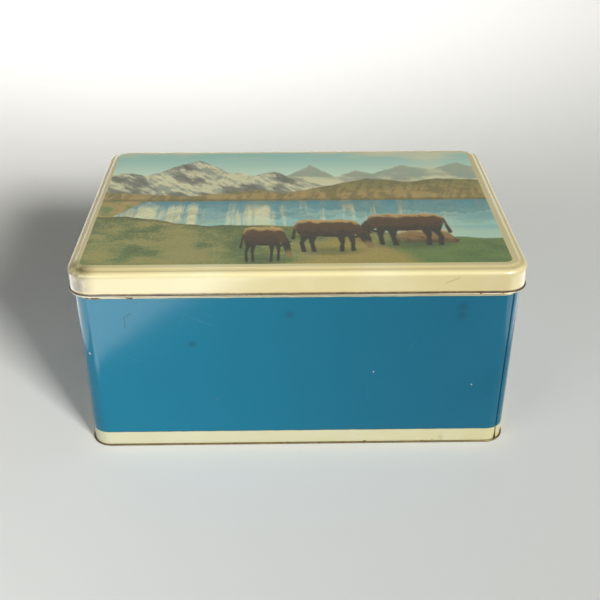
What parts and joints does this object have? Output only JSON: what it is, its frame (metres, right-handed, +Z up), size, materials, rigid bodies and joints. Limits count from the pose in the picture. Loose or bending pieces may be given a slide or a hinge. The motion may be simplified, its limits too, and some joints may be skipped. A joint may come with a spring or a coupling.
{
  "type": "cookie tin",
  "caption": "Rectangular tinplate biscuit tin with rounded corners, hooked corner seams, a folded base rim and a lift-off lid with a raised picture panel.",
  "frame": {"origin": "on the floor under the middle of the tin", "axes": "+X to the right along the long side, +Y to the back, +Z up; the front with the seam at its right-hand corner faces -Y"},
  "size_m": [0.297, 0.202, 0.1415],
  "materials": {
    "body_enamel": "glossy printed enamel, blue between two cream bands, lightly scratched",
    "base_lacquer": "worn gold lacquer over tinplate, rusted along the folded rim",
    "lid_enamel": "glossy cream enamel, worn along the hem",
    "lid_print": "varnished colour print of a lake and mountains"
  },
  "bodies": {
    "box": {"wall_front": "body_enamel", "wall_back": "body_enamel", "base_panel": "base_lacquer"},
    "lid": {"lid": "lid_enamel"}
  },
  "joints": [
    {"name": "lid_lift", "type": "slide", "parent": "box", "child": "lid", "axis": [0, 0, 1], "range_m": [0, 0.12]}
  ]
}
